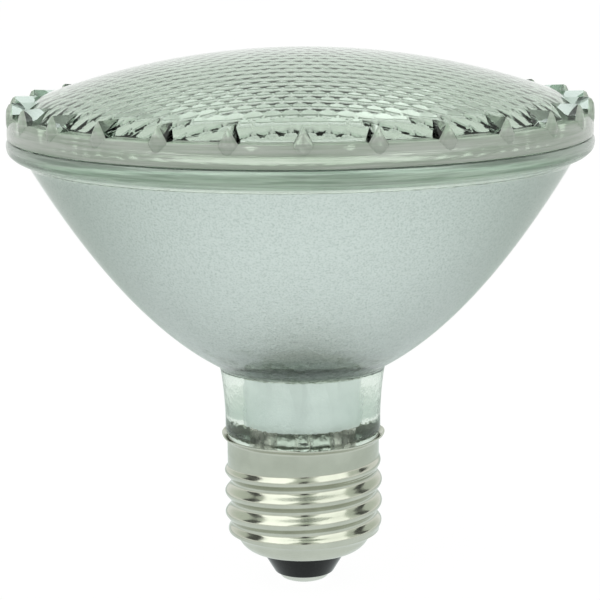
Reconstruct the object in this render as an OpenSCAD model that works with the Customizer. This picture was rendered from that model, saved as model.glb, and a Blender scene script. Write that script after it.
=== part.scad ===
// Reflector spotlight bulb with a short glass neck and an E26 screw base.
// The origin is the centre of the contact tip and +Z runs up the bulb's axis to the lens.
// All lengths are in millimetres and all angles in degrees.

/* [Overall] */
// Length from the contact tip to the top of the lens
overall_h = 89.5; // [88.5:0.5:91]
// Diameter of the rim, 30 eighths of an inch
rim_d = 95.2; // [94.8:0.1:95.6]
// Height of the lens above the seam where it is sealed to the reflector
lens_h = 13.6; // [13.2:0.1:14]

/* [Lens] */
// Radius of the smooth dome on the outside of the lens
dome_r = 124; // [118:1:130]
// Thickness of the lens glass above the pattern
lens_t = 4.1; // [3.9:0.1:4.3]
// Distance between neighbouring lenticules in a row
cell_pitch = 2.67; // [2.62:0.01:2.8]
// How far each lenticule stands down from the inner face
cell_drop = 0.5; // [0.4:0.05:0.6]
// Number of small nubs around the shoulder
nub_count = 27; // [25:1:28]
// Width of a nub
nub_w = 3; // [2.8:0.1:3.2]

/* [Reflector] */
// Focal length of the outside of the bowl
outer_focal = 12.9; // [12.8:0.05:13]
// Focal length of the silvered inside of the bowl
inner_focal = 12.6; // [12.4:0.05:12.7]
// Outer diameter of the neck at its waist
neck_d = 25.8; // [25.4:0.1:26.2]
// Diameter of the sixteen-sided silvered well in the neck
well_d = 13.2; // [13:0.1:13.6]
// Height of the glass floor of the well
floor_top = 28.6; // [28.2:0.1:29]
// Thickness of that floor
floor_t = 4; // [3.6:0.1:4.2]
// Diameter of the open hollow under the floor
heel_bore_d = 18.4; // [18:0.1:18.8]
// Distance of each lead from the axis
lead_x = 4.5; // [4.3:0.1:4.7]

/* [Screw base] */
// Diameter over the crests of the rolled thread
thread_d = 26.3; // [26.1:0.05:26.4]
// Depth of the rolled thread
thread_depth = 1.0; // [0.9:0.05:1.1]
// Rise of the thread in one turn, seven turns to the inch
thread_pitch = 3.629; // [3.6:0.001:3.65]
// Diameter of the flared lip at the top of the shell
lip_d = 27.3; // [27:0.1:27.6]
// Thickness of the sheet that the shell is rolled from
shell_t = 0.35; // [0.3:0.01:0.38]
// Diameter of the centre contact
contact_d = 8.4; // [8:0.1:8.8]

/* [Capsule] */
// Outer diameter of the quartz capsule
capsule_d = 11.2; // [10.6:0.1:11.8]
// Height of the middle of the coil
coil_z = 50.4; // [50:0.1:50.8]
// Diameter of the coil
coil_d = 1.8; // [1.6:0.1:2]
// Diameter of the coiled wire
coil_wire_d = 0.34; // [0.3:0.01:0.36]

/* [Hidden] */
// Base
pad_h = 0.3;
rivet_r = 0.7;
rivet_t = 0.5;
step_r = 2.6;
step_z = 0.75;
plate_top = 1.7;
shell_z0 = 5.5;
foot_r = 7.4;
foot_out = 9.3;
foot_rise = 1.5;
thread_on = shell_z0 + 3.6;
plain_z0 = 19.4;
heel_z = 20.6;
collar_top = 24.6;
lip_z = 25.9;
facets = 36;
in_facet = cos(180 / facets);
shell_r = thread_d / 2 - thread_depth / 2;
collar_in = shell_r - shell_t;
spigot_r = collar_in * in_facet - 0.25;
lip_in = lip_d / 2 - shell_t;
crest_z = 12.15;
insulator_top = 8.8;
fuse_z = 16;
side_z = 20;
contact_r = contact_d / 2;
// Glass of the reflector
seam_z = overall_h - lens_h;
neck_r = neck_d / 2;
neck_top = 37.6;
neck_top_r = neck_r + 0.9;
outer_z0 = neck_top - neck_top_r * neck_top_r / (4 * outer_focal);
inner_z0 = outer_z0 + 3.4;
well_r = well_d / 2;
floor_bot = floor_top - floor_t;
rim_r = rim_d / 2;
flange_z = seam_z - 3.5;
flange_r = sqrt(4 * outer_focal * (flange_z - outer_z0));
rim_in = sqrt(4 * inner_focal * (seam_z - inner_z0));
// Glass of the lens
dome_c = overall_h - dome_r;
cell_in = dome_r - lens_t - cell_drop;
body_in = cell_in + cell_drop + 0.25;
pattern_r = 41;
seat_w = 3;
seat_r = rim_r - seat_w;
lens_r = rim_r - 0.2;
ledge_z = seam_z + 3.7;
ledge_r = rim_r - 1.3;
valley_r = rim_r - 2.9;
turn_r = valley_r - 3.5;
band_z = seam_z + 1.4;
nub_top = ledge_z + 2.4;
nub_eave = ledge_z + 0.5;
nub_bot = ledge_z - 1.5;
nub_r = rim_r - 0.7;
// Leads and capsule
lead_r = 0.45;
tube_r = 1.15;
ferrule_r = 1.6;
ferrule_bot = floor_bot - 0.5;
lead_bot = ferrule_bot - 1;
pin_x = 2.6;
pinch_w = 10.4;
pinch_z0 = 33;
foil_z0 = 35.2;
foil_z1 = 39.8;
cavity_z0 = 42.4;
coil_h = 8;
coil_z0 = coil_z - coil_h / 2;
coil_z1 = coil_z + coil_h / 2;
wire_r = 0.3;
tail_x = coil_d / 2 + 0.9;
capsule_r = capsule_d / 2;
capsule_in = capsule_r - 0.9;
capsule_top = 56.4;

// Points of an ellipse quarter that starts at [r1, z0] and ends at [r0, z1]
function quarter(r0, z0, r1, z1, n) =
  [for (i = [0:n]) [r0 + (r1 - r0) * cos(90 * i / n), z0 + (z1 - z0) * sin(90 * i / n)]];

// Points of the parabola z = z0 + r * r / (4 * f) from radius ra to radius rb
function bowl(f, z0, ra, rb, n) =
  [for (i = [0:n]) let (r = ra + (rb - ra) * i / n) [r, z0 + r * r / (4 * f)]];

function reversed(list) = [for (i = [len(list) - 1:-1:0]) list[i]];

module lathe(points) { rotate_extrude($fn = 96) polygon(points); }

// Points of a sphere's top from radius ra to radius rb
function cap(r, z, ra, rb, n) =
  [for (i = [0:n]) let (x = ra + (rb - ra) * i / n) [x, z + sqrt(r * r - x * x)]];

// A straight round wire from point a to point b
module rod(a, b, r) {
  d = b - a;
  length = norm(d);
  translate(a) rotate([0, acos(d[2] / length), atan2(d[1], d[0])]) cylinder(r = r, h = length, $fn = 24);
}

// A bent round wire through the points, with round elbows
module wire(points, r) {
  for (i = [0:len(points) - 2]) rod(points[i], points[i + 1], r);
  if (len(points) > 2) for (i = [1:len(points) - 2]) translate(points[i]) sphere(r = 1.04 * r, $fn = 24);
}

// Lens

// The middles and corners of the hexagonal cells all lie on one fine triangular grid,
// whose rows are numbered u and v. A point is the middle of a cell where u - v divides by three.
fine = cell_pitch / sqrt(3);
reach = ceil(pattern_r / (fine * 0.866)) + 2;
span = 2 * reach + 1;
around = [[1, 0], [0, 1], [-1, 1], [-1, 0], [0, -1], [1, -1]];

function grid(p) = fine * [p[0] * sqrt(3) / 2, p[1] + p[0] / 2];
function is_cell(p) = (p[0] - p[1] + 3 * span) % 3 == 0 && norm(grid(p)) < pattern_r - 0.6 * cell_pitch;
function id(p) = (p[0] + reach) * span + p[1] + reach;
function inner_face(p) = dome_c + sqrt(cell_in * cell_in - norm(grid(p)) * norm(grid(p)));

function dome_z(r) = dome_c + sqrt(dome_r * dome_r - r * r);
dome_drop = dome_z(valley_r - 0.4) - ledge_z - 0.3;

// Every cell is a low six-sided pyramid that points down, and the block above them is one solid
module lens_pattern() {
  top = span * span;
  rows = [for (u = [-reach:reach], v = [-reach:reach]) [u, v]];
  cells = [for (p = rows) if (is_cell(p)) p];
  polyhedron(
    points = concat(
      [for (p = rows) concat(grid(p), inner_face(p) + cell_drop * (is_cell(p) ? 0 : 1))],
      [for (p = rows) concat(grid(p), overall_h + 1)]),
    faces = concat(
      [for (c = cells, k = [0:5]) [id(c), id(c + around[k]), id(c + around[(k + 1) % 6])]],
      [for (c = cells) [for (k = [5:-1:0]) id(c + around[k]) + top]],
      [for (c = cells, k = [0:5])
        let (a = around[k], b = around[(k + 1) % 6])
        if (!is_cell(c + a + b)) [id(c + b), id(c + a), id(c + a) + top, id(c + b) + top]]));
}

module lens() {
  color([0.83, 0.88, 0.84, 0.35]) union() {
    lathe(concat(
      [[seat_r, seam_z], [lens_r - 0.3, seam_z], [lens_r, seam_z + 0.3]],
      quarter(ledge_r, band_z, lens_r, ledge_z, 6),
      [[valley_r + 0.2, ledge_z], [valley_r - 0.4, ledge_z + 0.3]],
      // The dome turns down more steeply over the last few millimetres
      [for (i = [1:3]) let (x = valley_r - 0.4 - i * (valley_r - 0.4 - turn_r) / 4)
        [x, dome_z(x) - dome_drop * pow((x - turn_r) / (valley_r - 0.4 - turn_r), 2)]],
      cap(dome_r, dome_c, turn_r, 0, 16),
      cap(body_in, dome_c, 0, pattern_r + 0.4, 14),
      [[pattern_r + 1.2, seam_z + 1.9], [seat_r - 1.8, seam_z + 1]]));
    intersection() {
      translate([0, 0, dome_c]) sphere(r = dome_r - lens_t / 3, $fn = 200);
      lens_pattern();
    }
    for (i = [0:nub_count - 1]) rotate([0, 0, 360 * i / nub_count - 90]) nub();
  }
}

module nub() {
  intersection() {
    // Plan of the side: a flat top whose outer end turns down
    translate([0, nub_w / 2 + 1, 0]) rotate([90, 0, 0]) linear_extrude(height = nub_w + 2)
      polygon([[turn_r, nub_bot - 1], [nub_r, nub_bot - 1], [nub_r, nub_top - 1.5],
        [nub_r - 0.4, nub_top - 1.1], [nub_r - 1.1, nub_top - 0.4], [nub_r - 1.9, nub_top + 0.02],
        [turn_r, nub_top + 0.02]]);
    // The end as it is seen from outside: a gable with a rounded foot
    translate([turn_r, 0, 0]) rotate([90, 0, 90]) linear_extrude(height = 8)
      polygon([[0, nub_top], [nub_w / 2, nub_eave], [nub_w * 0.46, nub_eave - 0.6],
        [nub_w * 0.3, nub_bot + 0.4], [0, nub_bot], [-nub_w * 0.3, nub_bot + 0.4],
        [-nub_w * 0.46, nub_eave - 0.6], [-nub_w / 2, nub_eave]]);
  }
}

// Reflector: bowl, rim, floor and neck are one pressed piece of glass
module reflector() {
  color([0.8, 0.86, 0.84, 0.4]) difference() {
    lathe(concat(
      [[heel_bore_d / 2, heel_z], [spigot_r, heel_z], [spigot_r, collar_top], [neck_r, lip_z + 0.4],
        [neck_r, 29.5], [neck_r + 0.2, 32.5], [neck_r + 0.5, 35.5], [neck_top_r, neck_top]],
      bowl(outer_focal, outer_z0, neck_top_r + 1.4, flange_r, 16),
      [[flange_r + 0.9, flange_z + 0.1], [rim_r - 1.2, flange_z + 0.6], [rim_r - 0.3, flange_z + 1.4],
        [rim_r, flange_z + 2.2], [rim_r, seam_z - 0.6], [rim_r - 0.35, seam_z]],
      reversed(bowl(inner_focal, inner_z0, well_r - 1, rim_in, 18)),
      [[0, inner_z0 + 0.4], [0, floor_bot], [heel_bore_d / 2 - 0.5, floor_bot],
        [heel_bore_d / 2, floor_bot - 0.5]]));
    translate([0, 0, floor_top]) linear_extrude(height = inner_z0 + 2 - floor_top)
      polygon([for (k = [0:15]) well_r * [cos(22.5 * k), sin(22.5 * k)]]);
    for (x = [-lead_x, lead_x]) translate([x, 0, floor_bot - 1]) cylinder(r = ferrule_r, h = floor_t + 2);
    translate([0, 0, floor_bot - 1]) cylinder(r = 1, h = floor_t + 2);
  }
}

// Screw shell: one thin sheet with a rolled right-hand thread, an inward foot and a flared lip
thread_steps = 24;
outside = concat(
  [[foot_r, shell_z0], [foot_out, shell_z0 + 0.15], [foot_out + foot_rise, shell_z0 + foot_rise],
    [shell_r - 1.1, shell_z0 + foot_rise + 1.1]],
  [for (i = [0:thread_steps]) [shell_r, thread_on + (plain_z0 - thread_on) * i / thread_steps]],
  [[shell_r, collar_top - 0.3], [shell_r + 0.15, collar_top + 0.3], [lip_d / 2 - 0.12, lip_z - 0.75],
    [lip_d / 2, lip_z - 0.35], [lip_d / 2 - 0.08, lip_z]]);
inside = concat(
  [[lip_in - 0.04, lip_z], [lip_in - 0.05, lip_z - 0.35], [shell_r + 0.15 - shell_t, collar_top + 0.5],
    [collar_in, collar_top - 0.1]],
  [for (i = [thread_steps:-1:0]) [collar_in, thread_on + (plain_z0 - thread_on) * i / thread_steps]],
  [[shell_r - 1.1 - 0.9 * shell_t, shell_z0 + foot_rise + 1.1 + 0.4 * shell_t],
    [foot_out + foot_rise - 0.7 * shell_t, shell_z0 + foot_rise + 0.7 * shell_t],
    [foot_out - 0.3 * shell_t, shell_z0 + 0.15 + shell_t], [foot_r, shell_z0 + shell_t]]);
ring = concat(outside, inside);

// How strongly the thread stands at height z: it fades in and out over half a turn
function fade(z) = min(1, max(0, (z - thread_on) / 1.6), max(0, (plain_z0 - z) / 1.8));
function wave(z, a) = thread_depth / 2 * fade(z) * cos(360 * (z - crest_z) / thread_pitch - a + 180);

module screw_shell() {
  n = len(ring);
  color([0.8, 0.79, 0.74]) polyhedron(
    points = [for (j = [0:facets - 1], p = ring) let (a = (j + 0.5) * 360 / facets, r = p[0] + wave(p[1], a))
      [r * cos(a), r * sin(a), p[1]]],
    faces = [for (j = [0:facets - 1], i = [0:n - 1])
      let (k = (j + 1) % facets, m = (i + 1) % n)
      each [[j * n + i, j * n + m, k * n + m], [j * n + i, k * n + m, k * n + i]]]);
}

// Insulator: black glass that carries the contact in the foot of the shell
module insulator() {
  tube = rivet_r + rivet_t;
  color([0.05, 0.05, 0.055]) lathe([[tube, step_z], [step_r, step_z], [contact_r - 0.7, step_z + 0.35],
    [contact_r - 0.45, plate_top], [contact_r + 0.7, plate_top], [foot_r - 0.05, shell_z0],
    [foot_r - 0.05, shell_z0 + shell_t], [foot_out - 0.5, shell_z0 + shell_t],
    [foot_out + foot_rise - 0.9, shell_z0 + foot_rise], [foot_out + foot_rise - 0.9, insulator_top],
    [tube, insulator_top]]);
}

// Centre contact: a pressed cap with a tube through the insulator
module centre_contact() {
  tube = rivet_r + rivet_t;
  color([0.8, 0.78, 0.7]) lathe([[rivet_r, pad_h], [step_r, pad_h], [contact_r - 0.4, step_z],
    [contact_r, step_z + 0.5], [contact_r, plate_top], [contact_r - 0.45, plate_top],
    [contact_r - 0.7, step_z + 0.35], [step_r, step_z], [tube, step_z], [tube, insulator_top + 0.3],
    [rivet_r, insulator_top + 0.3]]);
}

// Solder that closes the tube and makes the tip
module contact_solder() {
  color([0.72, 0.72, 0.7]) lathe([[0, 0], [2 * rivet_r, 0], [2.7 * rivet_r, pad_h],
    [rivet_r, pad_h], [rivet_r, plate_top], [wire_r, plate_top], [wire_r, pad_h], [0, pad_h]]);
}

// Cement that holds the neck in the collar of the shell
module base_cement() {
  r = collar_in * in_facet - 0.02;
  flare = (neck_r - spigot_r) / (lip_z + 0.4 - collar_top);
  color([0.78, 0.76, 0.7]) lathe([[spigot_r, heel_z], [r, heel_z], [r, collar_top],
    [r + 0.12, collar_top + 0.5], [r + 0.4, collar_top + 0.8], [spigot_r + flare * 0.8, collar_top + 0.8],
    [spigot_r, collar_top]]);
}

// Metal ferrule in a hole of the floor, with its collar under the floor
module ferrule(x) {
  color([0.7, 0.69, 0.64]) translate([x, 0, 0]) lathe([[tube_r, ferrule_bot], [2.3, ferrule_bot],
    [2.3, floor_bot], [ferrule_r, floor_bot], [ferrule_r, floor_top + 0.4], [tube_r, floor_top + 0.4]]);
}
module ferrule_left() { ferrule(-lead_x); }
module ferrule_right() { ferrule(lead_x); }

// Braze that seals the lead into its ferrule
module braze(x) {
  color([0.78, 0.62, 0.4]) translate([x, 0, 0]) lathe([[lead_r, ferrule_bot], [tube_r, ferrule_bot],
    [tube_r, floor_top - 0.4], [lead_r, floor_top]]);
}
module braze_left() { braze(-lead_x); }
module braze_right() { braze(lead_x); }

// Sealed-off glass tube through which the bulb was filled
module exhaust_tip() {
  color([0.8, 0.88, 0.84, 0.4]) lathe([[1, floor_bot], [1.7, floor_bot], [1.7, floor_bot - 3.5],
    [1.4, floor_bot - 4.8], [0.5, floor_bot - 5.6], [0, floor_bot - 5.7], [0, floor_bot - 4.4],
    [0.6, floor_bot - 4], [1, floor_bot - 3.2]]);
}

// Halogen capsule: a quartz bulb with a flat pinch that holds the foils
module capsule() {
  color([0.9, 0.93, 0.95, 0.3]) difference() {
    union() {
      lathe(concat(
        [[0, cavity_z0 - 1.4], [capsule_r - 1.4, cavity_z0 - 1.4], [capsule_r - 0.4, cavity_z0 - 0.6]],
        [[capsule_r, cavity_z0 + 0.6]],
        [for (a = [0:18:72]) [capsule_r * cos(a), capsule_top + capsule_r * 0.8 * sin(a)]],
        [[0.9, capsule_top + capsule_r * 0.82 + 0.4], [0.5, capsule_top + capsule_r * 0.82 + 1.6],
          [0, capsule_top + capsule_r * 0.82 + 1.8]]));
      translate([-pinch_w / 2, -1.6, pinch_z0]) cube([pinch_w, 3.2, cavity_z0 - pinch_z0 - 0.4]);
    }
    lathe(concat([[0, cavity_z0], [capsule_in - 0.6, cavity_z0], [capsule_in, cavity_z0 + 0.8]],
      [for (a = [0:18:90]) [capsule_in * cos(a), capsule_top + capsule_in * 0.78 * sin(a)]]));
    for (x = [-pin_x, pin_x]) {
      translate([x, 0, pinch_z0 - 1]) cylinder(r = lead_r, h = foil_z0 - pinch_z0 + 1);
      translate([x - 1.2, -0.08, foil_z0]) cube([2.4, 0.16, foil_z1 - foil_z0]);
      translate([x, 0, foil_z1]) cylinder(r = wire_r, h = cavity_z0 - foil_z1 + 1);
    }
  }
}

// Coil of the filament with its two straight tails
coil_turns = 8.5;
coil_steps = 85;
coil_path = concat([[-tail_x, 0, coil_z0]],
  [for (i = [0:coil_steps]) let (a = 180 + 360 * coil_turns * i / coil_steps)
    [coil_d / 2 * cos(a), coil_d / 2 * sin(a), coil_z0 + coil_h * i / coil_steps]],
  [[tail_x, 0, coil_z1]]);

module filament() {
  n = 5;
  last = len(coil_path) - 1;
  w = coil_wire_d / 2;
  // Each ring of points stands across the path: e1 points away from the axis and e2 along it
  rings = [for (i = [0:last]) let (
      p = coil_path[i],
      q = coil_path[max(0, i - 1)],
      s = coil_path[min(last, i + 1)],
      t = (i == 0 || i == last) ? [1, 0, 0] : (s - q) / norm(s - q),
      up = [0, 0, 1],
      e1 = cross(t, up) / norm(cross(t, up)),
      e2 = cross(e1, t))
    each [for (k = [0:n - 1]) p + w * (cos(360 * k / n) * e1 + sin(360 * k / n) * e2)]];
  color([0.35, 0.34, 0.33]) polyhedron(points = rings, faces = concat(
    [[for (k = [0:n - 1]) k]],
    [[for (k = [n - 1:-1:0]) last * n + k]],
    [for (i = [0:last - 1], k = [0:n - 1]) let (m = (k + 1) % n)
      each [[i * n + k, (i + 1) * n + k, (i + 1) * n + m], [i * n + k, (i + 1) * n + m, i * n + m]]]));
}

// Thin foils that carry the current through the quartz pinch
module foil(x) {
  color([0.6, 0.6, 0.6]) translate([x - 1.2, -0.08, foil_z0]) cube([2.4, 0.16, foil_z1 - foil_z0]);
}
module foil_left() { foil(-pin_x); }
module foil_right() { foil(pin_x); }

// Leads inside the capsule, from the foils to the ends of the coil
module inner_lead_short() {
  color([0.5, 0.5, 0.5]) wire([[-pin_x, 0, foil_z1], [-pin_x, 0, coil_z0], [-tail_x, 0, coil_z0]], wire_r);
}
module inner_lead_long() {
  color([0.5, 0.5, 0.5]) wire([[pin_x, 0, foil_z1], [pin_x, 0, coil_z1], [tail_x, 0, coil_z1]], wire_r);
}

// Stiff leads that carry the capsule, from the ferrules to the foils
module outer_lead(side) {
  color([0.62, 0.61, 0.6]) wire([[side * lead_x, 0, lead_bot], [side * lead_x, 0, floor_top + 2],
    [side * pin_x, 0, floor_top + 2], [side * pin_x, 0, foil_z0]], lead_r);
}
module outer_lead_left() { outer_lead(-1); }
module outer_lead_right() { outer_lead(1); }

// Thin wire down to the centre contact, which melts first if the bulb fails
module fuse_wire() {
  color([0.6, 0.5, 0.4])
    wire([[-lead_x, 0, lead_bot], [-lead_x, 0, fuse_z], [0, 0, fuse_z], [0, 0, pad_h]], wire_r);
}

// Wire to the inside of the shell's collar
module side_wire() {
  color([0.6, 0.5, 0.4])
    wire([[lead_x, 0, lead_bot], [lead_x, 0, side_z], [collar_in * in_facet, 0, side_z]], wire_r);
}

lens();
reflector();
screw_shell();
insulator();
centre_contact();
contact_solder();
base_cement();
ferrule_left();
ferrule_right();
braze_left();
braze_right();
exhaust_tip();
capsule();
filament();
foil_left();
foil_right();
inner_lead_short();
inner_lead_long();
outer_lead_left();
outer_lead_right();
fuse_wire();
side_wire();
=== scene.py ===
"""Looks of the reflector spotlight bulb: smooth glass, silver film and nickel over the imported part.

Shapes are drawn in millimetres round the bulb's axis, with z = 0 at the contact tip.
They become metres when a piece is finished.
"""

import math

import bmesh
import bpy
from mathutils import Matrix, Quaternion, Vector


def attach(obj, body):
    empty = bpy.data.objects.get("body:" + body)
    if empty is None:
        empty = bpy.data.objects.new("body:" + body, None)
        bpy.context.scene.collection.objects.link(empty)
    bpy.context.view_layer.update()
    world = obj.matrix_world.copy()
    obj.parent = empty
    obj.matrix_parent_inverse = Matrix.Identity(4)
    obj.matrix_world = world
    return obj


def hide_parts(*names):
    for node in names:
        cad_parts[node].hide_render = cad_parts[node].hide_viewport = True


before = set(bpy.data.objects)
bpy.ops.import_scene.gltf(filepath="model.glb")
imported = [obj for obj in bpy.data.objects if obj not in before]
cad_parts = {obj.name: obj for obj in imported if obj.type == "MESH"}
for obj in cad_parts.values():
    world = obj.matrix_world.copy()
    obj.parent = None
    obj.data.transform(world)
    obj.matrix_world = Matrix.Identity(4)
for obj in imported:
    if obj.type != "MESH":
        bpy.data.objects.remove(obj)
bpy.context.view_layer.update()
MM = 0.001

# Sizes of the lens and its nubs, in mm
OVERALL_H = 89.5
RIM_R = 47.6
SEAM_Z = 75.9
DOME_R = 124.0
DOME_C = OVERALL_H - DOME_R
LENS_T = 4.1
CELL_PITCH = 2.67
CELL_DROP = 0.5
CELL_CROWN = (0.04, 0.13)  # in the middle of the lens, and at the pattern's edge
PATTERN_R = 41.0
DIP_R = 34.0  # from here outwards the underside falls away from its sphere
CELL_IN = DOME_R - LENS_T - CELL_DROP
BODY_IN = DOME_R - LENS_T + 0.25
SEAT_R = 44.6
LENS_R = 47.4
LEDGE_Z = SEAM_Z + 3.7
LEDGE_R = 46.3
VALLEY_R = 44.7
TURN_R = VALLEY_R - 3.5
BAND_Z = SEAM_Z + 1.4
NUBS = 27
NUB_W = 3.0
NUB_TOP = LEDGE_Z + 2.4
NUB_R = 47.5
NUB_TURN = math.radians(0.47)

# Sizes of the reflector, in mm: bowl, rim, well in the neck, floor and skirt
OUTER_FOCAL = 12.9
INNER_FOCAL = 12.6
NECK_R = 12.9
NECK_TOP = 37.6
NECK_TOP_R = NECK_R + 0.9
OUTER_Z0 = NECK_TOP - NECK_TOP_R**2 / (4 * OUTER_FOCAL)
INNER_Z0 = OUTER_Z0 + 3.4
FLANGE_Z = SEAM_Z - 3.5
FLANGE_R = math.sqrt(4 * OUTER_FOCAL * (FLANGE_Z - OUTER_Z0))
RIM_IN = math.sqrt(4 * INNER_FOCAL * (SEAM_Z - INNER_Z0))
FILM_TOP = SEAM_Z - 2.8
WELL_R = 6.6
WELL_SIDES = 16
FLOOR_TOP = 27.4
FLOOR_BOT = 24.6
HEEL_Z = 20.6
HEEL_BORE_R = 9.2
SPIGOT_R = 12.0
COLLAR_TOP = 24.6
LIP_Z = 25.9
LEAD_X = 4.5
LEAD_HOLE_R = 1.6
EXHAUST_R = 1.0

# Sizes of the screw base, in mm
SHELL_R = 12.65
SHELL_T = 0.35
SHELL_Z0 = 5.8
FOOT_R = 7.4
THREAD_ON = SHELL_Z0 + 3.3
THREAD_END = 22.6
THREAD_DEPTH = 1.0
THREAD_PITCH = 3.629
CREST_Z = 12.15
LIP_R = 13.65
CONTACT_R = 4.2
CONTACT_Z = 0.3
PLATE_TOP = 1.7
TUBE_R = 1.2
BORE_R = 0.7
INSULATOR_TOP = 8.8


# ---- Outlines


def rounded(outline, steps=5):
    """The closed outline, with each corner (r, z, size) eased over that size."""
    points = []
    for i, (r, z, *size) in enumerate(outline):
        if not size:
            points.append((r, z))
            continue
        corner = Vector((r, z))
        before = Vector(outline[i - 1][:2]) - corner
        after = Vector(outline[(i + 1) % len(outline)][:2]) - corner
        a = corner + before.normalized() * min(size[0], before.length / 2)
        b = corner + after.normalized() * min(size[0], after.length / 2)
        for k in range(steps + 1):
            t = k / steps
            p = (1 - t) ** 2 * a + 2 * t * (1 - t) * corner + t * t * b
            points.append((p.x, p.y))
    return points


def bowl(focal, z0, ra, rb, steps):
    """Points of a parabola from radius ra to radius rb."""
    radii = [ra + (rb - ra) * i / steps for i in range(steps + 1)]
    return [(r, z0 + r * r / (4 * focal)) for r in radii]


def cap(radius, centre_z, ra, rb, steps):
    """Points of a sphere's top from radius ra to radius rb."""
    radii = [ra + (rb - ra) * i / steps for i in range(steps + 1)]
    return [(r, centre_z + math.sqrt(radius**2 - r * r)) for r in radii]


def quarter(r0, z0, r1, z1, steps):
    """Points of an ellipse quarter from (r1, z0) to (r0, z1)."""
    turns = [math.pi / 2 * i / steps for i in range(steps + 1)]
    return [(r0 + (r1 - r0) * math.cos(t), z0 + (z1 - z0) * math.sin(t)) for t in turns]


# ---- Mesh tools


def turned(outline, steps=192):
    """A closed solid of revolution from its outline."""
    bm = bmesh.new()
    verts = [bm.verts.new((r, 0, z)) for r, z in outline]
    edges = [bm.edges.new(pair) for pair in zip(verts, verts[1:] + verts[:1])]
    bmesh.ops.spin(
        bm,
        geom=verts + edges,
        cent=(0, 0, 0),
        axis=(0, 0, 1),
        angle=math.tau,
        steps=steps,
        use_merge=True,
    )
    bmesh.ops.remove_doubles(bm, verts=bm.verts, dist=1e-4)
    bmesh.ops.dissolve_degenerate(bm, edges=bm.edges, dist=1e-5)
    lone = [v for v in bm.verts if not v.link_faces]
    bmesh.ops.delete(bm, geom=lone, context="VERTS")
    axis_edges = [e for e in bm.edges if not e.link_faces]
    bmesh.ops.delete(bm, geom=axis_edges, context="EDGES")
    bmesh.ops.recalc_face_normals(bm, faces=bm.faces)
    return bm


def joined(body, tool, operation):
    """The body united with the tool, or cut by it."""
    objects = []
    for bm in (body, tool):
        mesh = bpy.data.meshes.new("part")
        bm.to_mesh(mesh)
        bm.free()
        objects.append(bpy.data.objects.new("part", mesh))
        bpy.context.scene.collection.objects.link(objects[-1])
    modifier = objects[0].modifiers.new("join", "BOOLEAN")
    modifier.operation = operation
    modifier.solver = "EXACT"
    modifier.object = objects[1]
    result = objects[0].evaluated_get(bpy.context.evaluated_depsgraph_get()).to_mesh()
    bm = bmesh.new()
    bm.from_mesh(result)
    for o in objects:
        bpy.data.objects.remove(o)
    bmesh.ops.remove_doubles(bm, verts=bm.verts, dist=1e-4)
    return bm


def finished(bm, name, materials, nodes, sharp=32):
    """Makes the mesh a piece of the bulb that stands for the named nodes."""
    bmesh.ops.scale(bm, vec=(MM, MM, MM), verts=bm.verts)
    mesh = bpy.data.meshes.new(name)
    bm.to_mesh(mesh)
    bm.free()
    mesh.shade_smooth()
    mesh.set_sharp_from_angle(angle=math.radians(sharp))
    for m in materials:
        mesh.materials.append(m)
    piece = bpy.data.objects.new(name, mesh)
    bpy.context.scene.collection.objects.link(piece)
    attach(piece, "root")
    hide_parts(*nodes)
    return piece


# ---- Materials

GLASS_IOR = 1.47
BODY_DENSITY = 30


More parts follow.
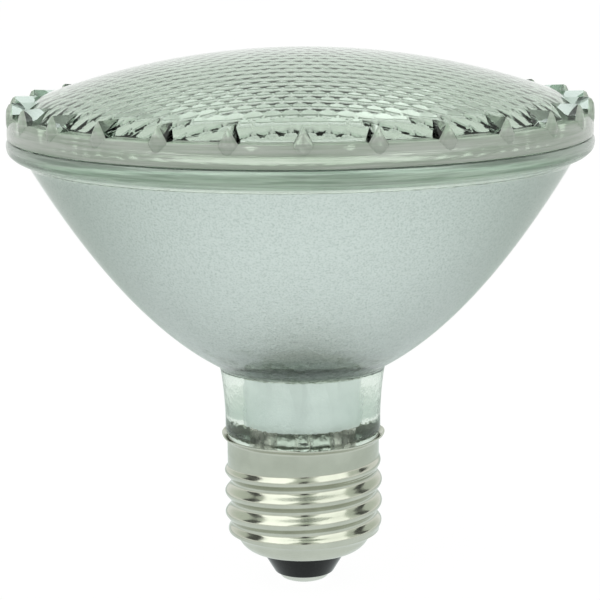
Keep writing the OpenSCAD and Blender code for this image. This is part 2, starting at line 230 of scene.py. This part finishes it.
class Finish:
    """A material on one Principled shader, with a few helpers for its pattern."""

    def __init__(self, name, **values):
        self.material = bpy.data.materials.new(name)
        self.material.use_nodes = True
        self.nodes = self.material.node_tree.nodes
        self.links = self.material.node_tree.links
        self.shader = self.nodes["Principled BSDF"]
        self.coords = self.nodes.new("ShaderNodeTexCoord").outputs["Object"]
        self.bumped = None
        for key, value in values.items():
            self.shader.inputs[key.replace("_", " ")].default_value = value

    def noise(self, size_mm, detail=2.0, roughness=0.5, stretch=(1, 1, 1)):
        """Noise whose grains are about size_mm across."""
        mapping = self.nodes.new("ShaderNodeMapping")
        mapping.inputs["Scale"].default_value = stretch
        texture = self.nodes.new("ShaderNodeTexNoise")
        texture.inputs["Scale"].default_value = 1 / (size_mm * MM)
        texture.inputs["Detail"].default_value = detail
        texture.inputs["Roughness"].default_value = roughness
        self.links.new(self.coords, mapping.inputs["Vector"])
        self.links.new(mapping.outputs["Vector"], texture.inputs["Vector"])
        return texture.outputs["Fac"]

    def ramp(self, value, low, high, at=(0.35, 0.65)):
        """A smooth change from the colour low to the colour high as the value rises."""
        node = self.nodes.new("ShaderNodeValToRGB")
        ends = node.color_ramp.elements
        ends[0].position, ends[1].position = at
        ends[0].color = (*low, 1)
        ends[1].color = (*high, 1)
        self.links.new(value, node.inputs["Fac"])
        return node.outputs["Color"]

    def spread(self, value, low, high, at=(0.3, 0.7)):
        """The value stretched from the range at to the range low to high."""
        node = self.nodes.new("ShaderNodeMapRange")
        for key, number in zip(("From Min", "From Max", "To Min", "To Max"), (*at, low, high)):
            node.inputs[key].default_value = number
        self.links.new(value, node.inputs["Value"])
        return node.outputs["Result"]

    def worked_out(self, operation, a, b):
        """The two values added, multiplied or the like."""
        node = self.nodes.new("ShaderNodeMath")
        node.operation = operation
        self.links.new(a, node.inputs[0])
        self.links.new(b, node.inputs[1])
        return node.outputs[0]

    def blend(self, share, a, b):
        """The colour a, turning into the colour b as the share goes from 0 to 1."""
        node = self.nodes.new("ShaderNodeMix")
        node.data_type = "RGBA"
        self.links.new(share, node.inputs[0])
        self.links.new(a, node.inputs[6])
        self.links.new(b, node.inputs[7])
        return node.outputs[2]

    def height(self):
        """Height above the contact tip, in metres."""
        node = self.nodes.new("ShaderNodeSeparateXYZ")
        self.links.new(self.coords, node.inputs[0])
        return node.outputs["Z"]

    def colour(self, value):
        self.links.new(value, self.shader.inputs["Base Color"])

    def roughness(self, value):
        self.links.new(value, self.shader.inputs["Roughness"])

    def bump(self, value, depth_mm):
        """Adds a relief of that depth. Each call lies on the one before."""
        node = self.nodes.new("ShaderNodeBump")
        node.inputs["Distance"].default_value = depth_mm * MM
        self.links.new(value, node.inputs["Height"])
        if self.bumped is not None:
            self.links.new(self.bumped, node.inputs["Normal"])
        self.bumped = node.outputs["Normal"]
        self.links.new(self.bumped, self.shader.inputs["Normal"])

    def green_body(self, density):
        """Makes the glass turn green as it gets thicker."""
        node = self.nodes.new("ShaderNodeVolumeAbsorption")
        node.inputs["Color"].default_value = (0.72, 0.84, 0.74, 1)
        node.inputs["Density"].default_value = density
        self.links.new(node.outputs["Volume"], self.nodes["Material Output"].inputs["Volume"])


def clear_glass(name, colour=(1, 1, 1), roughness=0.0, ior=GLASS_IOR):
    f = Finish(name, Base_Color=(*colour, 1), Roughness=roughness, IOR=ior)
    f.shader.inputs["Transmission Weight"].default_value = 1.0
    return f


def pressed_glass(name, density):
    """Clear pressed glass with a faint green body."""
    f = clear_glass(name, (0.985, 1, 0.99))
    f.green_body(density)
    return f


def streaked_glass(name, dark, light):
    """Pressed glass whose skin scatters part of the light, in thin streaks round the rim."""
    f = Finish(name, Roughness=0.16, IOR=GLASS_IOR, Transmission_Weight=0.6)
    f.green_body(BODY_DENSITY)
    lines = f.noise(2.5, 3, 0.6, (0.15, 0.15, 4))
    f.colour(f.ramp(lines, dark, light, (0.4, 0.6)))
    f.bump(lines, 0.12)
    return f.material


def metal(name, colour, roughness, grain_mm=0.6, depth_mm=0.004):
    """Worked metal: its tone and polish change a little over the surface."""
    f = Finish(name, Metallic=1.0)
    dark = tuple(c * 0.92 for c in colour)
    f.colour(f.ramp(f.noise(4, 3), dark, colour))
    f.roughness(f.spread(f.noise(1.5, 3), roughness * 0.75, roughness * 1.3))
    f.bump(f.noise(grain_mm, 2), depth_mm)
    return f.material


lens_finish = pressed_glass("lens_glass", 42)
lens_finish.bump(lens_finish.noise(5, 1), 0.01)
lens_glass = lens_finish.material
edge_glass = streaked_glass("edge_glass", (0.74, 0.83, 0.72), (0.95, 0.99, 0.93))
# The flange's skin is darker grey-green than the lens edge: its streaks are partly the glass's own,
# its dark tone is painted shade for the dark band round the rim
rim_glass_painted_shade = streaked_glass("rim_glass_painted_shade", (0.44, 0.51, 0.46), (0.78, 0.85, 0.8))

# The bowl's ripple and stipple are strongest round the neck
bowl_finish = pressed_glass("bowl_glass", BODY_DENSITY)
strength = bowl_finish.spread(bowl_finish.height(), 1.0, 0.35, (0.038, 0.06))
for size_mm, detail, depth_mm in ((1.1, 1, 0.05), (0.4, 2, 0.02)):
    relief = bowl_finish.noise(size_mm, detail)
    bowl_finish.bump(bowl_finish.worked_out("MULTIPLY", relief, strength), depth_mm)
bowl_glass = bowl_finish.material

# The film is grainy in the bowl and even on the wall of the well; at its foot its colour is darkened
# in streaks, painted shade for the dark surroundings it reflects there
film = Finish("silver_film", Metallic=1.0, Roughness=0.3)
well_wall = film.ramp(film.noise(3, 1), (0.84, 0.88, 0.88), (0.88, 0.92, 0.92))
painted_streak_noise = film.noise(0.9, 3, 0.6, (1, 1, 2))
# Dark streaks at the foot of the bowl: painted shade, blended in below about 38 to 44 mm
painted_shade_streaks = film.ramp(painted_streak_noise, (0.3, 0.35, 0.28), (0.88, 0.92, 0.86), (0.4, 0.62))
grain = film.ramp(film.noise(0.32, 3, 0.6), (0.7, 0.74, 0.72), (0.93, 0.95, 0.94), (0.32, 0.55))
uneven_height = film.worked_out("ADD", film.height(), film.spread(film.noise(4, 2), -0.003, 0.003))
bowl_wall = film.blend(film.spread(uneven_height, 0, 1, (0.038, 0.044)), painted_shade_streaks, grain)
film.colour(film.blend(film.spread(film.height(), 0, 1, (0.0365, 0.037)), well_wall, bowl_wall))
film.bump(film.noise(0.35, 2), 0.04)
silver_film = film.material

nickel = metal("nickel_shell", (0.6, 0.605, 0.525), 0.16)
black = Finish("black_glass", Roughness=0.12, IOR=1.5, Specular_IOR_Level=0.25)
black.colour(black.ramp(black.noise(0.5, 3), (0.001, 0.001, 0.0012), (0.006, 0.0063, 0.0066)))
black.bump(black.noise(0.5, 3), 0.01)
black_glass = black.material
contact_metal = metal("contact_metal", (0.72, 0.72, 0.66), 0.28)
solder = metal("solder", (0.7, 0.7, 0.68), 0.3, 1.0, 0.02)


# ---- Lens


def nub():
    """One nub on the shoulder, on the +X side: a gabled stub with a rounded outer end."""
    bm = bmesh.new()
    half = NUB_W / 2
    eave = LEDGE_Z - 0.1
    foot = LEDGE_Z - 2.1
    right = [(half, eave), (half * 0.92, eave - 0.6), (half * 0.6, foot + 0.4)]
    ends = [(0, NUB_TOP), *right, (0, foot), *[(-y, z) for y, z in reversed(right)]]
    face = bm.faces.new([bm.verts.new((TURN_R, y, z)) for y, z in ends])
    made = bmesh.ops.extrude_face_region(bm, geom=[face])
    outer = [v for v in made["geom"] if isinstance(v, bmesh.types.BMVert)]
    bmesh.ops.translate(bm, vec=(NUB_R - TURN_R, 0, 0), verts=outer)
    rim = [e for e in bm.edges if all(v in outer for v in e.verts)]
    bmesh.ops.bevel(
        bm,
        geom=rim,
        offset=1.0,
        offset_type="OFFSET",
        segments=3,
        profile=0.5,
        affect="EDGES",
        material=-1,
    )
    bmesh.ops.recalc_face_normals(bm, faces=bm.faces)
    return bm


def all_nubs():
    """The ring of nubs, of which one is nearly in front."""
    bm = bmesh.new()
    mesh = bpy.data.meshes.new("nub")
    one = nub()
    one.to_mesh(mesh)
    one.free()
    for i in range(NUBS):
        mesh.transform(Matrix.Rotation(math.tau / NUBS if i else NUB_TURN - math.pi / 2, 4, "Z"))
        bm.from_mesh(mesh)
    return bm


def dip(r):
    """How far the underside falls away from its sphere towards the edge."""
    return 0.015 * max(0, r - DIP_R) ** 2


def cell_field():
    """The underside of the lens: a lattice of six-sided lenticules, each one a low cushion.

    Until the cells are placed, z is 1 in the middle of a cell and 0 at its corners.
    """
    cell = bmesh.new()
    corner = CELL_PITCH / math.sqrt(3)
    sixth = Matrix.Rotation(math.pi / 6, 3, "Z")
    bmesh.ops.create_circle(cell, cap_ends=True, cap_tris=True, segments=6, radius=corner)
    bmesh.ops.rotate(cell, cent=(0, 0, 0), matrix=sixth, verts=cell.verts)
    bmesh.ops.subdivide_edges(cell, edges=cell.edges, cuts=3, use_grid_fill=True)
    for v in cell.verts:
        v.co.z = 1 - (v.co.xy.length / corner) ** 2
    mesh = bpy.data.meshes.new("cell")
    cell.to_mesh(mesh)
    cell.free()
    bm = bmesh.new()
    reach = int(PATTERN_R / CELL_PITCH) + 2
    for u in range(-2 * reach, 2 * reach + 1):
        for v in range(-reach, reach + 1):
            place = Vector(((u + (v % 2) / 2) * CELL_PITCH, v * CELL_PITCH * math.sqrt(3) / 2, 0))
            if place.length < PATTERN_R - 0.42 * CELL_PITCH:
                here = mesh.copy()
                here.transform(Matrix.Translation(place))
                bm.from_mesh(here)
                bpy.data.meshes.remove(here)
    bmesh.ops.remove_doubles(bm, verts=bm.verts, dist=0.01)
    middle, outer = CELL_CROWN
    for v in bm.verts:
        r = v.co.xy.length
        crown = middle + (outer - middle) * (r / PATTERN_R) ** 2
        v.co.z = DOME_C + math.sqrt(CELL_IN**2 - r * r) - dip(r) + CELL_DROP - crown * v.co.z
    return bm


def lens():
    """Domed lens: its smooth body is turned, joined with the nubs and closed below by the cells."""
    edge_r = PATTERN_R + 0.6
    low_r, low_z = VALLEY_R - 0.4, LEDGE_Z + 0.3
    fall = DOME_C + math.sqrt(DOME_R**2 - low_r**2) - low_z
    turn = cap(DOME_R, DOME_C, low_r, TURN_R, 12)
    outline = [
        (SEAT_R, SEAM_Z - 0.02),
        (LENS_R - 0.3, SEAM_Z - 0.02, 0.25),
        (LENS_R, SEAM_Z + 0.3, 0.2),
        *quarter(LEDGE_R, BAND_Z, LENS_R, LEDGE_Z, 20),
        (VALLEY_R + 0.1, LEDGE_Z, 0.3),
        *[(r, z - fall * ((r - TURN_R) / (low_r - TURN_R)) ** 2) for r, z in turn],
        *cap(DOME_R, DOME_C, TURN_R - 1, 0, 40),
        (0, DOME_C + BODY_IN),
        (edge_r, DOME_C + math.sqrt(BODY_IN**2 - edge_r**2) - dip(edge_r)),
        (PATTERN_R + 1.3, SEAM_Z + 1.4, 0.4),
        (SEAT_R - 1.6, SEAM_Z + 0.8, 0.6),
    ]
    bm = joined(turned(rounded(outline)), all_nubs(), "UNION")
    in_pattern = [f for f in bm.faces if f.calc_center_median().xy.length < edge_r - 1]
    under = [f for f in in_pattern if f.normal.z < -0.5]
    bmesh.ops.delete(bm, geom=under, context="FACES")
    field = cell_field()
    mesh = bpy.data.meshes.new("field")
    field.to_mesh(mesh)
    field.free()
    bm.from_mesh(mesh)
    hole = [e for e in bm.edges if e.is_boundary]
    bmesh.ops.triangle_fill(bm, use_beauty=True, edges=hole, normal=(0, 0, 1))
    bmesh.ops.recalc_face_normals(bm, faces=bm.faces)
    for f in bm.faces:
        on_edge = f.calc_center_median().xy.length > VALLEY_R - 0.1
        f.material_index = 1 if on_edge and f.normal.z > -0.7 else 0
    return finished(bm, "lens_body", [lens_glass, edge_glass], ["lens"])


# ---- Reflector


def reflector():
    """Bowl, rim and neck in one, with the silvered well, the lead holes and the exhaust hole."""
    outline = [
        (HEEL_BORE_R, HEEL_Z, 0.4),
        (SPIGOT_R, HEEL_Z, 0.6),
        (SPIGOT_R, COLLAR_TOP, 0.5),
        (NECK_R, LIP_Z + 0.4, 0.6),
        (NECK_R, 29.5, 1.0),
        (NECK_R + 0.2, 32.5, 1.0),
        (NECK_R + 0.5, 35.5, 1.0),
        (NECK_TOP_R, NECK_TOP, 0.8),
        *bowl(OUTER_FOCAL, OUTER_Z0, NECK_TOP_R + 1.4, FLANGE_R - 0.5, 60),
        (FLANGE_R + 0.3, FLANGE_Z + 0.1, 0.4),
        (RIM_R - 1.2, FLANGE_Z + 0.5, 0.7),
        (RIM_R - 0.2, FLANGE_Z + 1.4, 0.5),
        (RIM_R, FLANGE_Z + 2.2, 0.5),
        (RIM_R, SEAM_Z - 0.6, 0.3),
        (RIM_R - 0.35, SEAM_Z, 0.15),
        *reversed(bowl(INNER_FOCAL, INNER_Z0, WELL_R - 1, RIM_IN, 60)),
        (0, INNER_Z0 + 0.4),
        (0, FLOOR_BOT),
        (HEEL_BORE_R, FLOOR_BOT, 0.5),
    ]
    well = bmesh.new()
    bmesh.ops.create_cone(
        well, cap_ends=True, segments=WELL_SIDES, radius1=WELL_R, radius2=WELL_R, depth=20
    )
    bmesh.ops.translate(well, vec=(0, 0, FLOOR_TOP + 10), verts=well.verts)
    bm = joined(turned(rounded(outline)), well, "DIFFERENCE")
    holes = bmesh.new()
    for x, r in ((-LEAD_X, LEAD_HOLE_R), (0, EXHAUST_R), (LEAD_X, LEAD_HOLE_R)):
        shift = Matrix.Translation((x, 0, (FLOOR_TOP + FLOOR_BOT) / 2))
        bmesh.ops.create_cone(
            holes, cap_ends=True, segments=32, radius1=r, radius2=r, depth=8, matrix=shift
        )
    bm = joined(bm, holes, "DIFFERENCE")
    for f in bm.faces:
        c = f.calc_center_median()
        r = c.xy.length
        wall_z = INNER_Z0 + r * r / (4 * INNER_FOCAL)
        in_bowl = r < RIM_IN and wall_z - 0.2 < c.z < FILM_TOP and c.z > INNER_Z0
        in_well = r < WELL_R + 0.05 and c.z > FLOOR_TOP + 0.1
        on_rim = r > RIM_R - 1.3 and c.z < SEAM_Z - 0.1
        f.material_index = 1 if in_bowl or in_well else 2 if on_rim else 0
    skins = [bowl_glass, silver_film, rim_glass_painted_shade]
    return finished(bm, "reflector_body", skins, ["reflector"], 28)


# ---- Screw base


def fade(z):
    """Share of the thread's depth at height z: it runs out at both ends."""
    return min(1, max(0, (z - THREAD_ON) / 1.6), max(0, (THREAD_END - z) / 2.6))


def wave(z, a):
    """How far the rolled thread stands out at height z and angle a: it is right-handed."""
    phase = math.tau * (z - CREST_Z) / THREAD_PITCH - a + math.pi
    push = THREAD_DEPTH / 2 * fade(z) * math.cos(phase)
    # Round the glass the thread only stands outward
    return push if push > 0 else push * min(1, max(0, (HEEL_Z - z) / 1.6))


def screw_shell():
    """Thin rolled sheet: foot, thread, collar and a slightly wavy lip."""
    steps = 120
    rise = (THREAD_END - THREAD_ON) / steps
    inner = SHELL_R - SHELL_T
    outline = [
        (FOOT_R, SHELL_Z0, 0.15),
        (9.3, SHELL_Z0 + 0.05, 0.9),
        (10.7, SHELL_Z0 + 1.3, 0.9),
        (11.1, SHELL_Z0 + 2.4, 0.6),
        (12.2, SHELL_Z0 + 3.3, 0.5),
        *[(SHELL_R, THREAD_ON + rise * i) for i in range(steps + 1)],
        (SHELL_R, LIP_Z - 0.95, 0.3),
        (LIP_R - 0.1, LIP_Z - 0.3, 0.25),
        (LIP_R - 0.05, LIP_Z, 0.1),
        (LIP_R - 0.3, LIP_Z, 0.1),
        (LIP_R - 0.4, LIP_Z - 0.15, 0.2),
        (inner, LIP_Z - 0.85, 0.3),
        *[(inner, THREAD_END - rise * i) for i in range(steps + 1)],
        (10.75, SHELL_Z0 + 2.4, 0.4),
        (10.3, SHELL_Z0 + 1.5, 0.5),
        (9.1, SHELL_Z0 + SHELL_T, 0.3),
        (FOOT_R, SHELL_Z0 + SHELL_T, 0.1),
    ]
    bm = turned(rounded(outline), 180)
    for v in bm.verts:
        a = math.atan2(v.co.y, v.co.x)
        r = v.co.xy.length
        lip = max(0, (v.co.z - COLLAR_TOP) / (LIP_Z - COLLAR_TOP))
        push = wave(v.co.z, a) + lip * (0.05 * math.sin(5 * a + 1) + 0.04 * math.sin(11 * a))
        v.co.x *= 1 + push / r
        v.co.y *= 1 + push / r
        v.co.z += lip * lip * 0.1 * math.sin(7 * a + 2) * math.sin(3 * a) - 0.1 * lip * lip
    return finished(bm, "shell_sheet", [nickel], ["screw_shell"], 40)


def insulator():
    """Black glass between the shell's foot and the contact."""
    outline = [
        (TUBE_R, CONTACT_Z + 0.45),
        (2.5, CONTACT_Z + 0.45),
        (CONTACT_R - 0.7, 1.1, 0.1),
        (CONTACT_R - 0.45, PLATE_TOP),
        (CONTACT_R + 0.7, PLATE_TOP, 0.25),
        (FOOT_R - 0.05, SHELL_Z0, 0.4),
        (FOOT_R - 0.05, SHELL_Z0 + SHELL_T),
        (9.0, SHELL_Z0 + SHELL_T, 0.3),
        (10.1, SHELL_Z0 + 1.5, 0.3),
        (10.1, INSULATOR_TOP, 0.3),
        (TUBE_R, INSULATOR_TOP, 0.3),
    ]
    bm = turned(rounded(outline), 128)
    return finished(bm, "insulator_glass", [black_glass], ["insulator"])


def contact():
    """Pressed cap, with its tube through the insulator."""
    outline = [
        (BORE_R, CONTACT_Z),
        (2.6, CONTACT_Z, 0.3),
        (CONTACT_R - 0.4, CONTACT_Z + 0.45, 0.25),
        (CONTACT_R, 1.25, 0.2),
        (CONTACT_R, PLATE_TOP),
        (CONTACT_R - 0.45, PLATE_TOP),
        (CONTACT_R - 0.7, 1.1, 0.1),
        (2.5, CONTACT_Z + 0.45),
        (TUBE_R, CONTACT_Z + 0.45),
        (TUBE_R, INSULATOR_TOP + 0.3),
        (BORE_R, INSULATOR_TOP + 0.3),
    ]
    bm = turned(rounded(outline), 96)
    return finished(bm, "contact_cap", [contact_metal], ["centre_contact"])


def solder_tip():
    """Drop of solder on the contact and in its tube, round the end of the fuse wire."""
    outline = [
        (0, 0),
        (1.3, 0, 0.3),
        (1.9, CONTACT_Z),
        (BORE_R, CONTACT_Z),
        (BORE_R, 1.8),
        (0.3, 1.8),
        (0.3, CONTACT_Z),
        (0, CONTACT_Z),
    ]
    bm = turned(rounded(outline), 64)
    return finished(bm, "solder_tip", [solder], ["contact_solder"])


lens()
reflector()
screw_shell()
insulator()
contact()
solder_tip()

# ---- Pieces that keep the part's own shape

quartz = clear_glass("quartz", ior=1.46)
quartz.bump(quartz.noise(3, 1), 0.02)
tube_glass = clear_glass("tube_glass", (0.97, 1, 0.98), 0.02)
tube_glass.bump(tube_glass.noise(2, 1), 0.02)
cement = Finish("cement", Roughness=0.9)
cement.colour(cement.ramp(cement.noise(0.8, 4), (0.5, 0.49, 0.44), (0.68, 0.66, 0.6)))
cement.bump(cement.noise(0.5, 4), 0.08)
KEPT = {
    "base_cement": cement.material,
    "ferrule_left": metal("ferrule_metal", (0.6, 0.59, 0.55), 0.25),
    "braze_left": metal("braze_metal", (0.72, 0.52, 0.28), 0.35, 0.8, 0.02),
    "exhaust_tip": tube_glass.material,
    "capsule": quartz.material,
    "filament": metal("tungsten", (0.32, 0.31, 0.3), 0.4, 0.1, 0.004),
    "foil_left": metal("molybdenum", (0.55, 0.54, 0.53), 0.3, 0.4, 0.01),
    "outer_lead_left": metal("lead_wire", (0.5, 0.49, 0.47), 0.3, 0.3, 0.006),
}
SAME = {
    "ferrule_right": "ferrule_left",
    "braze_right": "braze_left",
    "foil_right": "foil_left",
    "inner_lead_short": "outer_lead_left",
    "inner_lead_long": "outer_lead_left",
    "outer_lead_right": "outer_lead_left",
    "fuse_wire": "outer_lead_left",
    "side_wire": "outer_lead_left",
}
for name in list(KEPT) + list(SAME):
    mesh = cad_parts[name].data
    mesh.materials.clear()
    mesh.materials.append(KEPT[SAME.get(name, name)])


# ---- Stage


def flat(name, width, depth, matrix):
    """A flat rectangle of the stage, at real size in metres."""
    bm = bmesh.new()
    bmesh.ops.create_grid(bm, x_segments=1, y_segments=1, size=0.5)
    bmesh.ops.scale(bm, vec=(width, depth, 1), verts=bm.verts)
    mesh = bpy.data.meshes.new(name)
    bm.to_mesh(mesh)
    bm.free()
    obj = bpy.data.objects.new(name, mesh)
    obj.matrix_world = matrix
    bpy.context.scene.collection.objects.link(obj)
    return obj


def card(name, colour, azimuth, distance, width, low, high):
    """A paper card that only reflections and refractions see.

    Azimuth 0 is the camera's side and 90 the right.
    """
    m = bpy.data.materials.new(name)
    m.use_nodes = True
    nodes, links = m.node_tree.nodes, m.node_tree.links
    nodes.clear()
    glow = nodes.new("ShaderNodeEmission")
    glow.inputs["Color"].default_value = (*colour, 1)
    out = nodes.new("ShaderNodeOutputMaterial")
    links.new(glow.outputs[0], out.inputs["Surface"])
    a = math.radians(azimuth)
    place = Vector((math.sin(a) * distance, -math.cos(a) * distance, (low + high) / 2))
    turn = Matrix.Rotation(a, 4, "Z") @ Matrix.Rotation(math.pi / 2, 4, "X")
    obj = flat(name, width, high - low, Matrix.Translation(place) @ turn)
    obj.data.materials.append(m)
    obj.visible_camera = False
    obj.visible_shadow = False
    obj.visible_diffuse = False
    return obj


def camera_white(nodes, links):
    """1 for rays that should see the white ground: camera, mirror and glass rays."""
    path = nodes.new("ShaderNodeLightPath")
    first = nodes.new("ShaderNodeMath")
    first.operation = "MAXIMUM"
    links.new(path.outputs["Is Camera Ray"], first.inputs[0])
    links.new(path.outputs["Is Glossy Ray"], first.inputs[1])
    both = nodes.new("ShaderNodeMath")
    both.operation = "MAXIMUM"
    links.new(first.outputs[0], both.inputs[0])
    links.new(path.outputs["Is Transmission Ray"], both.inputs[1])
    return both.outputs[0]


def set_stops(ramp, tones):
    """Gives the ramp one stop for each place and colour."""
    stops = ramp.color_ramp.elements
    places = sorted(tones)
    for stop, place in zip(stops, (places[0], places[-1])):
        stop.position, stop.color = place, tones[place]
    for place in places[1:-1]:
        stops.new(place).color = tones[place]


floor = flat("floor", 12, 12, Matrix.Identity(4))
paper = bpy.data.materials.new("white_paper")
paper.use_nodes = True
nodes, links = paper.node_tree.nodes, paper.node_tree.links
nodes.clear()
matt = nodes.new("ShaderNodeBsdfDiffuse")
matt.inputs["Color"].default_value = (0.8, 0.8, 0.8, 1)
white = nodes.new("ShaderNodeEmission")
white.inputs["Strength"].default_value = 1.04
# Reflections show the paper round the bulb a little greyer: painted shade by distance from the bulb,
# standing for the bulb's own shade on it
spot = nodes.new("ShaderNodeTexCoord")
away = nodes.new("ShaderNodeVectorMath")
away.operation = "LENGTH"
links.new(spot.outputs["Object"], away.inputs[0])
shade = nodes.new("ShaderNodeValToRGB")
links.new(away.outputs["Value"], shade.inputs["Fac"])
PAINTED_SHADE_TONES = {
    0.0: (0.8, 0.87, 0.86, 1),
    0.06: (0.8, 0.87, 0.86, 1),
    0.12: (0.56, 0.64, 0.6, 1),
    0.2: (0.6, 0.66, 0.62, 1),
    0.45: (0.9, 0.92, 0.9, 1),
    0.9: (1, 1, 1, 1),
}
set_stops(shade, PAINTED_SHADE_TONES)
ray = nodes.new("ShaderNodeLightPath")
tone = nodes.new("ShaderNodeMix")
tone.data_type = "RGBA"
tone.inputs[6].default_value = (1, 1, 1, 1)
links.new(ray.outputs["Is Glossy Ray"], tone.inputs[0])
links.new(shade.outputs["Color"], tone.inputs[7])
links.new(tone.outputs[2], white.inputs["Color"])
mix = nodes.new("ShaderNodeMixShader")
share = nodes.new("ShaderNodeMath")
share.operation = "MULTIPLY"
share.inputs[1].default_value = 0.93
links.new(camera_white(nodes, links), share.inputs[0])
links.new(share.outputs[0], mix.inputs[0])
links.new(matt.outputs[0], mix.inputs[1])
links.new(white.outputs[0], mix.inputs[2])
out = nodes.new("ShaderNodeOutputMaterial")
links.new(mix.outputs[0], out.inputs["Surface"])
floor.data.materials.append(paper)

card("dark_camera", (0.03, 0.03, 0.03), 0, 0.5, 0.11, 0.06, 0.4)
card("dark_left", (0.08, 0.085, 0.08), -90, 0.6, 0.26, 0.15, 0.55)
card("dark_right", (0.08, 0.085, 0.08), 100, 0.6, 0.2, 0.15, 0.55)

world = bpy.data.worlds.new("studio")
bpy.context.scene.world = world
world.use_nodes = True
nodes, links = world.node_tree.nodes, world.node_tree.links
nodes.clear()
path = nodes.new("ShaderNodeLightPath")
seen = nodes.new("ShaderNodeBackground")
seen.inputs["Strength"].default_value = 1.0
light = nodes.new("ShaderNodeBackground")
light.inputs["Strength"].default_value = 0.9
# A white room whose ceiling is a softer, slightly green white
sky = nodes.new("ShaderNodeTexCoord")
up = nodes.new("ShaderNodeSeparateXYZ")
links.new(sky.outputs["Generated"], up.inputs[0])
room = nodes.new("ShaderNodeValToRGB")
links.new(up.outputs["Z"], room.inputs["Fac"])
ROOM_TONES = {0.1: (1.05, 1.08, 1.05, 1), 0.34: (0.76, 0.83, 0.75, 1), 1.0: (0.6, 0.68, 0.58, 1)}
set_stops(room, ROOM_TONES)
links.new(room.outputs["Color"], light.inputs["Color"])
mix = nodes.new("ShaderNodeMixShader")
out = nodes.new("ShaderNodeOutputWorld")
links.new(path.outputs["Is Camera Ray"], mix.inputs[0])
links.new(light.outputs[0], mix.inputs[1])
links.new(seen.outputs[0], mix.inputs[2])
links.new(mix.outputs[0], out.inputs["Surface"])


def softbox(name, azimuth, elevation, distance, size, power):
    """A square lamp that faces the bulb. Azimuths are those of the cards."""
    data = bpy.data.lights.new(name, "AREA")
    data.shape = "SQUARE"
    data.size = size
    data.energy = power
    lamp = bpy.data.objects.new(name, data)
    a, e = math.radians(azimuth), math.radians(elevation)
    away = Vector((math.sin(a) * math.cos(e), -math.cos(a) * math.cos(e), math.sin(e)))
    lamp.location = Vector((0, 0, 0.05)) + away * distance
    lamp.rotation_mode = "QUATERNION"
    lamp.rotation_quaternion = (-away).to_track_quat("-Z", "Y")
    bpy.context.scene.collection.objects.link(lamp)
    return lamp


softbox("softbox_left", -50, 40, 1.3, 1.1, 4.2)
softbox("softbox_right", 45, 35, 1.3, 1.1, 3.4)

# ---- Camera: 15.4 degrees wide, looking 11 degrees down, turned half a degree as the picture is

bpy.context.scene.view_settings.view_transform = "Standard"
camera_data = bpy.data.cameras.new("camera")
camera_data.sensor_width = 36
camera_data.lens = 2219.5 / 600 * 36
camera_data.clip_start = 0.01
camera_data.clip_end = 50
camera = bpy.data.objects.new("camera", camera_data)
camera.location = (-0.0003, -0.36, 0.118)
camera.rotation_mode = "QUATERNION"
tilt = Quaternion((1, 0, 0), math.radians(90 - 10.99))
roll = Quaternion((0, 0, 1), math.radians(-0.55))
camera.rotation_quaternion = tilt @ roll
bpy.context.scene.collection.objects.link(camera)
bpy.context.scene.camera = camera
